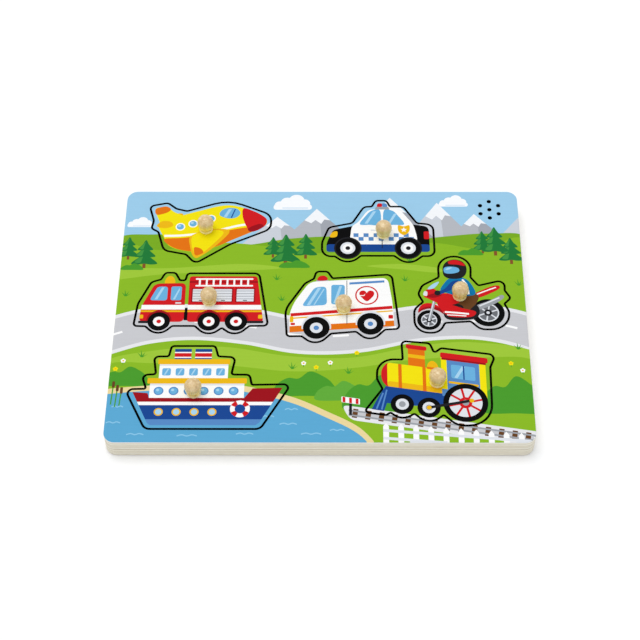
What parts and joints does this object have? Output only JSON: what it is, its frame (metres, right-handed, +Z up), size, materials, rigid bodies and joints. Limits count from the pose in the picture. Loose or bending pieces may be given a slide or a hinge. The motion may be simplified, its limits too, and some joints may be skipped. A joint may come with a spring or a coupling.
{
  "type": "peg puzzle",
  "caption": "Wooden peg puzzle with sound: printed vehicle pieces with turned pegs lift out of a plywood board, with a speaker and battery box behind.",
  "frame": {"origin": "Middle of the underside of the board, on the table.", "axes": "+X runs to the right along the long side, +Y to the back edge with the sound holes, +Z up out of the printed face."},
  "size_m": [0.3, 0.225, 0.032],
  "materials": {
    "printed_plywood": "printed satin",
    "plywood": "sanded",
    "hardboard": "matte",
    "airplane_print": "printed satin",
    "police_car_print": "printed satin",
    "fire_engine_print": "printed satin",
    "ambulance_print": "printed satin",
    "motorcycle_print": "printed satin",
    "ship_print": "printed satin",
    "train_print": "printed satin",
    "turned_wood": "turned and sanded",
    "screw_steel": "zinc plated",
    "speaker_steel": "satin",
    "magnet": "nickel plated",
    "speaker_film": "matte",
    "circuit_laminate": "gloss",
    "chip_resin": "gloss",
    "sensor_resin": "gloss",
    "lead_red": "satin",
    "lead_yellow": "satin",
    "box_plastic": "fine texture",
    "contact_metal": "nickel plated",
    "cell_wrap": "gloss"
  },
  "bodies": {
    "board": {"face_board": "printed_plywood", "base_board": "plywood", "back_panel": "hardboard", "panel_screws": "screw_steel", "speaker_basket": "speaker_steel", "speaker_magnet": "magnet", "speaker_cone": "speaker_film", "circuit_board": "circuit_laminate", "sound_chip": "chip_resin", "circuit_screws": "screw_steel", "light_sensors": "sensor_resin", "sensor_leads": "lead_red", "speaker_lead": "lead_yellow", "battery_lead": "lead_red", "battery_box": "box_plastic", "battery_contacts": "contact_metal", "battery_cells": "cell_wrap"},
    "airplane": {"airplane_piece": "airplane_print", "airplane_peg": "turned_wood"},
    "police_car": {"police_car_piece": "police_car_print", "police_car_peg": "turned_wood"},
    "fire_engine": {"fire_engine_piece": "fire_engine_print", "fire_engine_peg": "turned_wood"},
    "ambulance": {"ambulance_piece": "ambulance_print", "ambulance_peg": "turned_wood"},
    "motorcycle": {"motorcycle_piece": "motorcycle_print", "motorcycle_peg": "turned_wood"},
    "ship": {"ship_piece": "ship_print", "ship_peg": "turned_wood"},
    "train": {"train_piece": "train_print", "train_peg": "turned_wood"},
    "battery_door": {"battery_door": "box_plastic", "door_screw": "screw_steel"}
  },
  "joints": [
    {"name": "airplane_lift", "type": "slide", "parent": "board", "child": "airplane", "axis": [0, 0, 1], "range_m": [0, 0.04]},
    {"name": "police_car_lift", "type": "slide", "parent": "board", "child": "police_car", "axis": [0, 0, 1], "range_m": [0, 0.04]},
    {"name": "fire_engine_lift", "type": "slide", "parent": "board", "child": "fire_engine", "axis": [0, 0, 1], "range_m": [0, 0.04]},
    {"name": "ambulance_lift", "type": "slide", "parent": "board", "child": "ambulance", "axis": [0, 0, 1], "range_m": [0, 0.04]},
    {"name": "motorcycle_lift", "type": "slide", "parent": "board", "child": "motorcycle", "axis": [0, 0, 1], "range_m": [0, 0.04]},
    {"name": "ship_lift", "type": "slide", "parent": "board", "child": "ship", "axis": [0, 0, 1], "range_m": [0, 0.04]},
    {"name": "train_lift", "type": "slide", "parent": "board", "child": "train", "axis": [0, 0, 1], "range_m": [0, 0.04]},
    {"name": "battery_door_drop", "type": "slide", "parent": "board", "child": "battery_door", "axis": [0, 0, -1], "range_m": [0, 0.015]}
  ]
}
